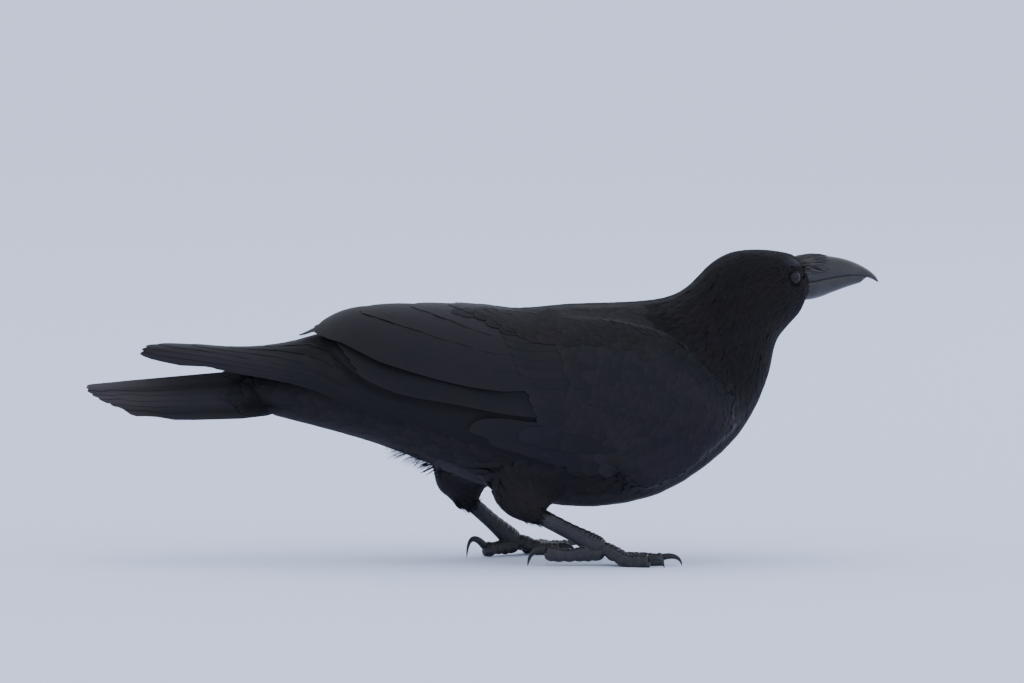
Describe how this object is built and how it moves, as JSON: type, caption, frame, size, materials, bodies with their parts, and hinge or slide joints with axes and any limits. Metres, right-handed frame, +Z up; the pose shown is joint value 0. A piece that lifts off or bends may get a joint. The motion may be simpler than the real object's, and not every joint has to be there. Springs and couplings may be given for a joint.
{
  "type": "crow",
  "caption": "Life-size still model of a carrion crow, leaning forward on both feet with wings folded and head turned to its left.",
  "frame": {"origin": "on the floor, under the middle of the crow's length and width", "axes": "+X the way the body faces, from tail to bill; +Y the crow's left; +Z up"},
  "size_m": [0.4356, 0.1298, 0.1712],
  "materials": {
    "plumage": "soft black body feathers with a faint blue sheen",
    "flight": "smooth blue-black wing and tail feathers, satin",
    "horn": "semi-gloss slate-black horn",
    "scaled": "dull black scaled skin",
    "eye": "dark brown, wet gloss"
  },
  "bodies": {
    "root": {"bill_lower": "horn", "bill_upper": "horn", "bristles": "plumage", "claw_hind_left": "horn", "claw_hind_right": "horn", "claw_inner_left": "horn", "claw_inner_right": "horn", "claw_middle_left": "horn", "claw_middle_right": "horn", "claw_outer_left": "horn", "claw_outer_right": "horn", "eye_left": "eye", "eye_right": "eye", "head": "plumage", "neck": "plumage", "shank_left": "scaled", "shank_right": "scaled", "shin_left": "plumage", "shin_right": "plumage", "tail": "flight", "tail_coverts": "plumage", "toe_hind_left": "scaled", "toe_hind_right": "scaled", "toe_inner_left": "scaled", "toe_inner_right": "scaled", "toe_middle_left": "scaled", "toe_middle_right": "scaled", "toe_outer_left": "scaled", "toe_outer_right": "scaled", "trunk": "plumage", "wing_left_coverts": "flight", "wing_left_primaries": "flight", "wing_left_secondaries": "flight", "wing_right_coverts": "flight", "wing_right_primaries": "flight", "wing_right_secondaries": "flight"}
  },
  "joints": []
}
